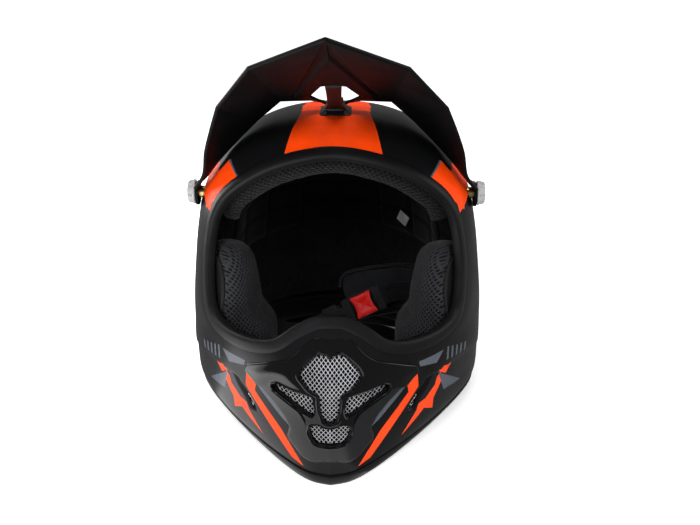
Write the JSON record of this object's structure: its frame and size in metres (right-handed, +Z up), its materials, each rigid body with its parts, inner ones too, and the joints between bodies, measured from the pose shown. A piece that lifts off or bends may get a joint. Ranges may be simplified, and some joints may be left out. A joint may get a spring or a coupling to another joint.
{
  "type": "off-road motorcycle helmet",
  "caption": "Full-face off-road motorcycle helmet with a tilting visor, open eyeport, vented chin bar, padded lining and a buckled chin strap.",
  "frame": {"origin": "on the plane that the rim rests on, under the middle of the whole outline", "axes": "+Z up, the eyeport looks towards -Y, +X to the right of somebody who faces the eyeport"},
  "size_m": [0.2572, 0.368, 0.339],
  "materials": {
    "shell_paint": "satin black painted moulded shell with orange and grey graphics",
    "foam": "black expanded polystyrene",
    "liner_fabric": "black brushed lining fabric",
    "mesh_fabric": "dark grey spacer mesh fabric",
    "inner_plastic": "black moulded plastic",
    "snap_metal": "plated press studs",
    "rubber_trim": "soft black rubber",
    "visor_plastic": "satin black moulded plastic with orange graphics",
    "black_plastic": "black moulded plastic",
    "brass": "plain brass",
    "knob_plastic": "pale grey moulded plastic",
    "gloss_black": "gloss black moulded plastic",
    "mesh_metal": "bright expanded metal mesh",
    "webbing": "black nylon webbing",
    "strap_steel": "zinc plated steel",
    "red_plastic": "red moulded plastic",
    "grey_tag": "plain grey woven tag"
  },
  "bodies": {
    "root": {"outer_shell": "shell_paint", "eps_crown_liner": "foam", "eps_chin_liner": "foam", "comfort_liner": "liner_fabric", "brow_pad": "mesh_fabric", "cheek_pad_left": "mesh_fabric", "cheek_pad_right": "mesh_fabric", "cheek_plate_left": "inner_plastic", "cheek_plate_right": "inner_plastic", "cheek_snaps_left": "snap_metal", "cheek_snaps_right": "snap_metal", "neck_roll": "liner_fabric", "eyeport_trim": "rubber_trim", "base_trim": "rubber_trim", "visor_mount_base": "black_plastic", "crown_insert": "brass", "visor_insert_left": "brass", "visor_insert_right": "brass", "mouth_vent_housing": "gloss_black", "mouth_vent_mesh": "mesh_metal", "chin_vent_left": "mesh_metal", "chin_vent_right": "mesh_metal", "rear_vent_left": "gloss_black", "rear_vent_right": "gloss_black", "strap_rivet_left": "strap_steel", "strap_rivet_right": "strap_steel", "size_tag": "grey_tag"},
    "visor": {"visor_peak": "visor_plastic"},
    "knob_left": {"visor_knob_left": "knob_plastic"},
    "knob_right": {"visor_knob_right": "knob_plastic"},
    "centre_screw": {"visor_centre_screw": "black_plastic"},
    "chin_strap": {"strap_left": "webbing", "strap_right": "webbing", "strap_plate_left": "strap_steel", "strap_plate_right": "strap_steel", "strap_pad": "liner_fabric", "buckle_housing": "black_plastic", "buckle_springs": "strap_steel"},
    "button": {"buckle_button": "red_plastic"},
    "tongue": {"buckle_tongue": "black_plastic"}
  },
  "joints": [
    {"name": "visor_tilt", "type": "hinge", "parent": "root", "child": "visor", "pos_m": [0, 0.003, 0.186], "axis": [1, 0, 0], "range_deg": [-6, 10]},
    {"name": "knob_left_turn", "type": "hinge", "parent": "root", "child": "knob_left", "pos_m": [-0.115, 0.003, 0.186], "axis": [-1, 0, 0], "continuous": true},
    {"name": "knob_right_turn", "type": "hinge", "parent": "root", "child": "knob_right", "pos_m": [0.115, 0.003, 0.186], "axis": [1, 0, 0], "continuous": true},
    {"name": "centre_screw_turn", "type": "hinge", "parent": "root", "child": "centre_screw", "pos_m": [0, 0.003, 0.255], "axis": [0, 0, 1], "continuous": true},
    {"name": "chin_strap_swing", "type": "hinge", "parent": "root", "child": "chin_strap", "pos_m": [0, 0.05, 0.055], "axis": [1, 0, 0], "range_deg": [-10, 10]},
    {"name": "buckle_button_press", "type": "slide", "parent": "chin_strap", "child": "button", "axis": [0, 0.9397, -0.342], "range_m": [0, 0.0024], "stiffness_N_per_m": 900, "springref_m": -0.002, "deforming": ["buckle_springs"]},
    {"name": "buckle_tongue_pull", "type": "slide", "parent": "chin_strap", "child": "tongue", "axis": [-0.9063, -0.1445, -0.3971], "range_m": [0, 0.018]}
  ]
}
